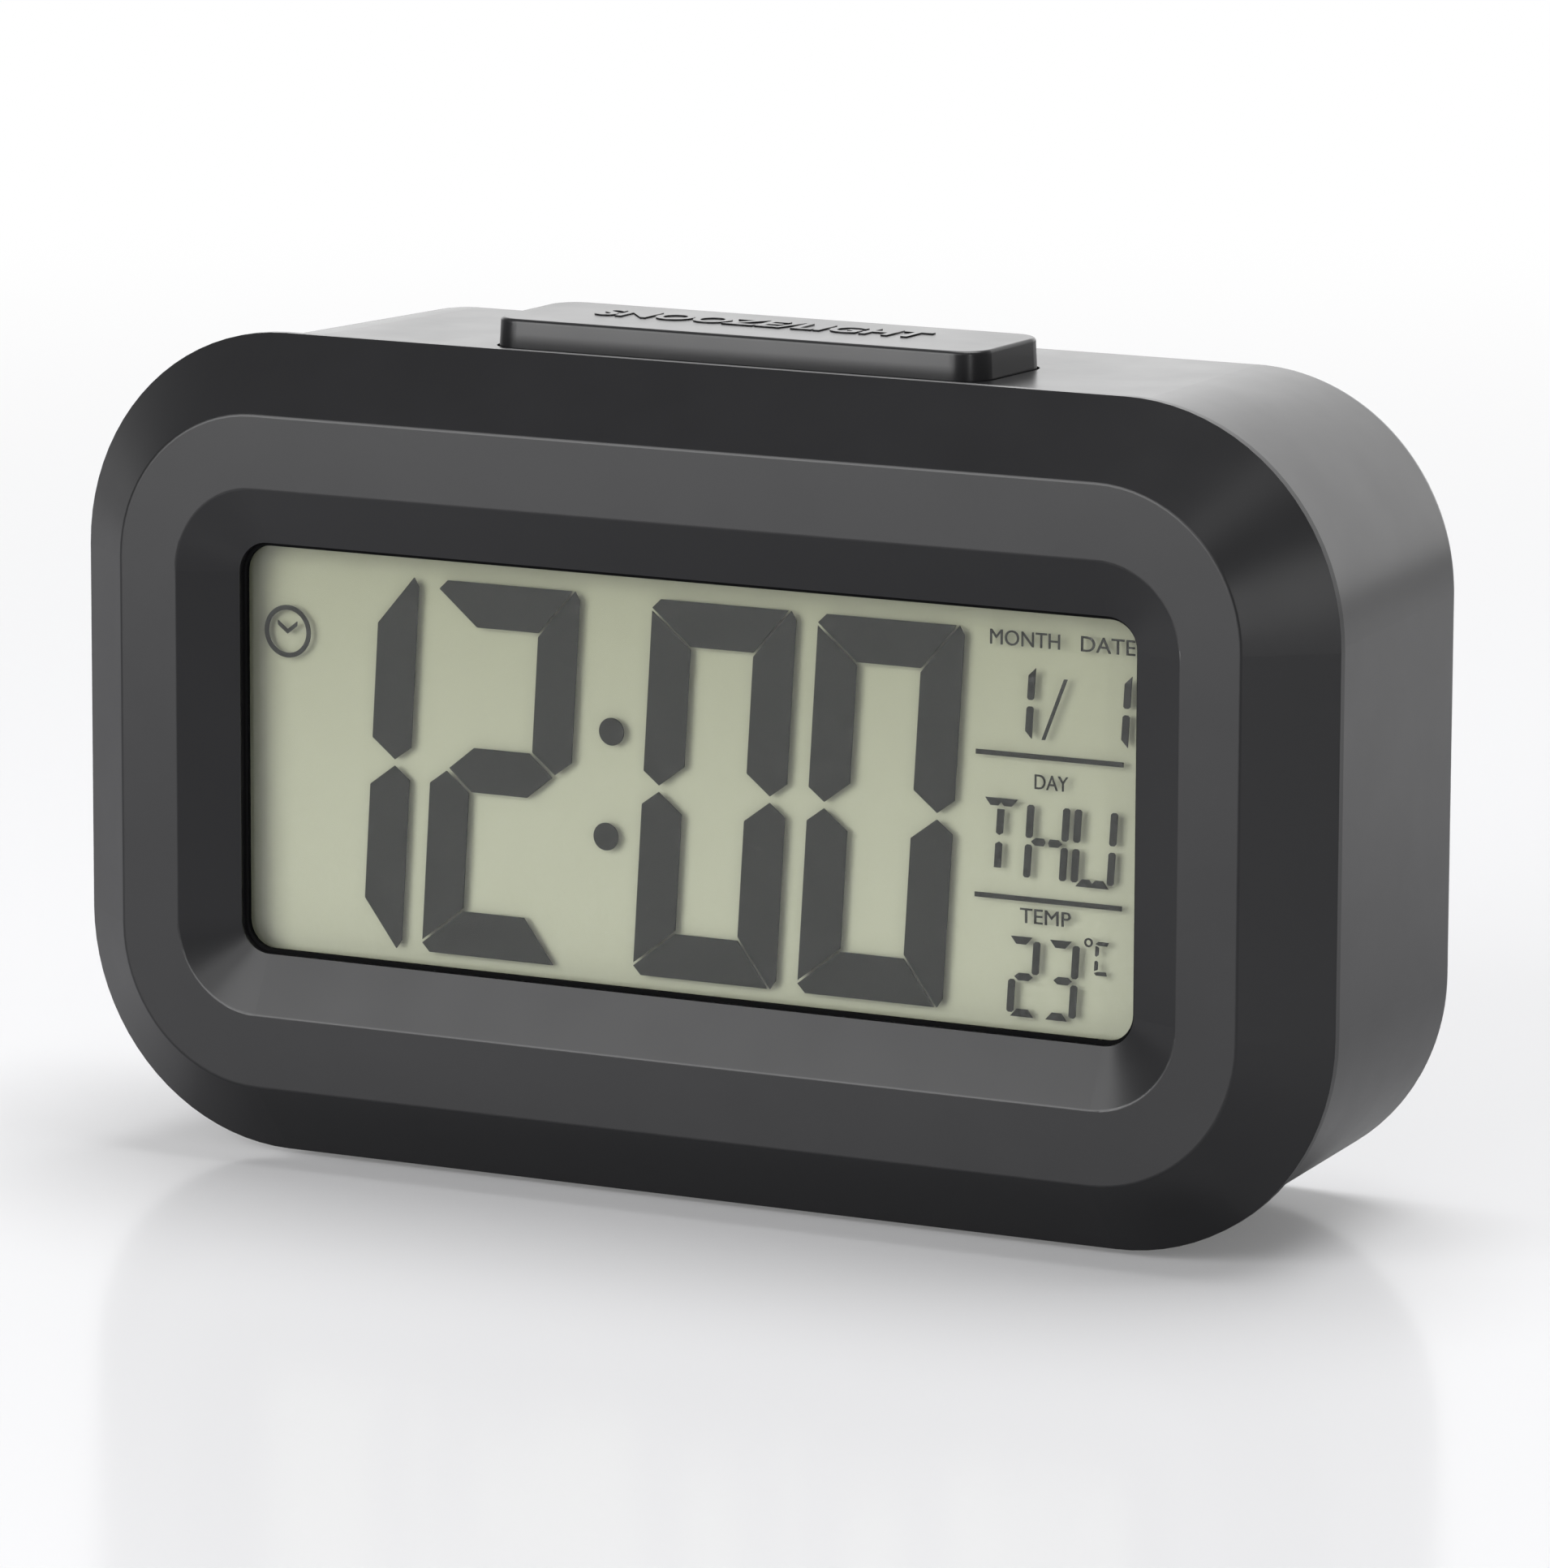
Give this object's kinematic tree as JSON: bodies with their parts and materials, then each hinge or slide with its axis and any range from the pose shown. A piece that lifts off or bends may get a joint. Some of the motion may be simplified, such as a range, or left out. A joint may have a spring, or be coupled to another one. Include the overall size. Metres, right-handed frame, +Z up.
{
  "type": "digital alarm clock",
  "caption": "Battery digital alarm clock: rounded two-part case, wide LCD behind a sloped bezel, snooze bar on top, and buttons, alarm slider and battery door on the back.",
  "frame": {"origin": "on the surface that the feet stand on, under the middle of the clock's bounding box", "axes": "+Z up; the display faces -Y; +X is to the right of someone looking at the display"},
  "size_m": [0.13, 0.04, 0.0804],
  "materials": {
    "case_plastic": "satin charcoal moulded ABS with a fine spark-eroded grain",
    "bar_plastic": "satin charcoal moulded ABS, smoother than the case",
    "button_plastic": "satin dark grey moulded ABS",
    "lens_acrylic": "clear polished acrylic sheet",
    "lcd_glass": "clear float glass with polarising film",
    "lcd_ink": "dark grey switched segments",
    "reflector_film": "matt grey-green reflective film",
    "guide_acrylic": "clear acrylic light guide",
    "lamp_body": "white moulded lamp",
    "holder_plastic": "white moulded polystyrene",
    "strip_rubber": "silicone rubber with conductive stripes",
    "circuit_board": "green lacquered laminate",
    "chip_epoxy": "black potting resin",
    "crystal_can": "tin-plated can",
    "capacitor_can": "sleeved aluminium can",
    "bead_glass": "glass-sealed bead",
    "screw_steel": "zinc-plated steel",
    "foot_rubber": "matt soft rubber",
    "switch_body": "black moulded nylon",
    "switch_stem": "black moulded acetal",
    "battery_jacket": null,
    "contact_nickel": "nickel-plated spring steel",
    "spring_steel": "nickel-plated spring wire",
    "buzzer_brass": "thin rolled brass",
    "buzzer_ceramic": "silvered ceramic disc",
    "lead_insulation": "PVC-insulated hook-up wire"
  },
  "bodies": {
    "case": {"front_bezel": "case_plastic", "rear_housing": "case_plastic", "display_lens": "lens_acrylic", "lcd_front_glass": "lcd_glass", "lcd_rear_glass": "lcd_glass", "lcd_segments": "lcd_ink", "lcd_reflector": "reflector_film", "light_guide": "guide_acrylic", "backlight_led": "lamp_body", "lcd_holder": "holder_plastic", "zebra_strip": "strip_rubber", "main_board": "circuit_board", "snooze_board": "circuit_board", "button_board": "circuit_board", "clock_chip": "chip_epoxy", "crystal": "crystal_can", "capacitors": "capacitor_can", "thermistor": "bead_glass", "holder_screws": "screw_steel", "case_screws": "screw_steel", "board_screws": "screw_steel", "rubber_feet": "foot_rubber", "snooze_switch": "switch_body", "button_switches": "switch_body", "alarm_switch": "switch_body", "batteries": "battery_jacket", "contact_plates": "contact_nickel", "contact_springs": "spring_steel", "buzzer_plate": "buzzer_brass", "buzzer_ceramic": "buzzer_ceramic", "wiring_leads": "lead_insulation"},
    "snooze_key": {"snooze_bar": "bar_plastic", "snooze_stem": "switch_stem"},
    "mode_key": {"mode_button": "button_plastic", "mode_stem": "switch_stem"},
    "set_key": {"set_button": "button_plastic", "set_stem": "switch_stem"},
    "up_key": {"up_button": "button_plastic", "up_stem": "switch_stem"},
    "down_key": {"down_button": "button_plastic", "down_stem": "switch_stem"},
    "alarm_knob": {"alarm_slider": "button_plastic"},
    "battery_cover": {"battery_door": "case_plastic"}
  },
  "joints": [
    {"name": "snooze_press", "type": "slide", "parent": "case", "child": "snooze_key", "axis": [0, 0, -1], "range_m": [0, 0.0008], "stiffness_N_per_m": 1500, "springref_m": -0.001},
    {"name": "mode_press", "type": "slide", "parent": "case", "child": "mode_key", "axis": [0, -1, 0], "range_m": [0, 0.0006], "stiffness_N_per_m": 1500, "springref_m": -0.001},
    {"name": "set_press", "type": "slide", "parent": "case", "child": "set_key", "axis": [0, -1, 0], "range_m": [0, 0.0006], "stiffness_N_per_m": 1500, "springref_m": -0.001},
    {"name": "up_press", "type": "slide", "parent": "case", "child": "up_key", "axis": [0, -1, 0], "range_m": [0, 0.0006], "stiffness_N_per_m": 1500, "springref_m": -0.001},
    {"name": "down_press", "type": "slide", "parent": "case", "child": "down_key", "axis": [0, -1, 0], "range_m": [0, 0.0006], "stiffness_N_per_m": 1500, "springref_m": -0.001},
    {"name": "alarm_slide", "type": "slide", "parent": "case", "child": "alarm_knob", "axis": [1, 0, 0], "range_m": [0, 0.003]},
    {"name": "door_lift_off", "type": "slide", "parent": "case", "child": "battery_cover", "axis": [0, 1, 0], "range_m": [0, 0.014]}
  ]
}
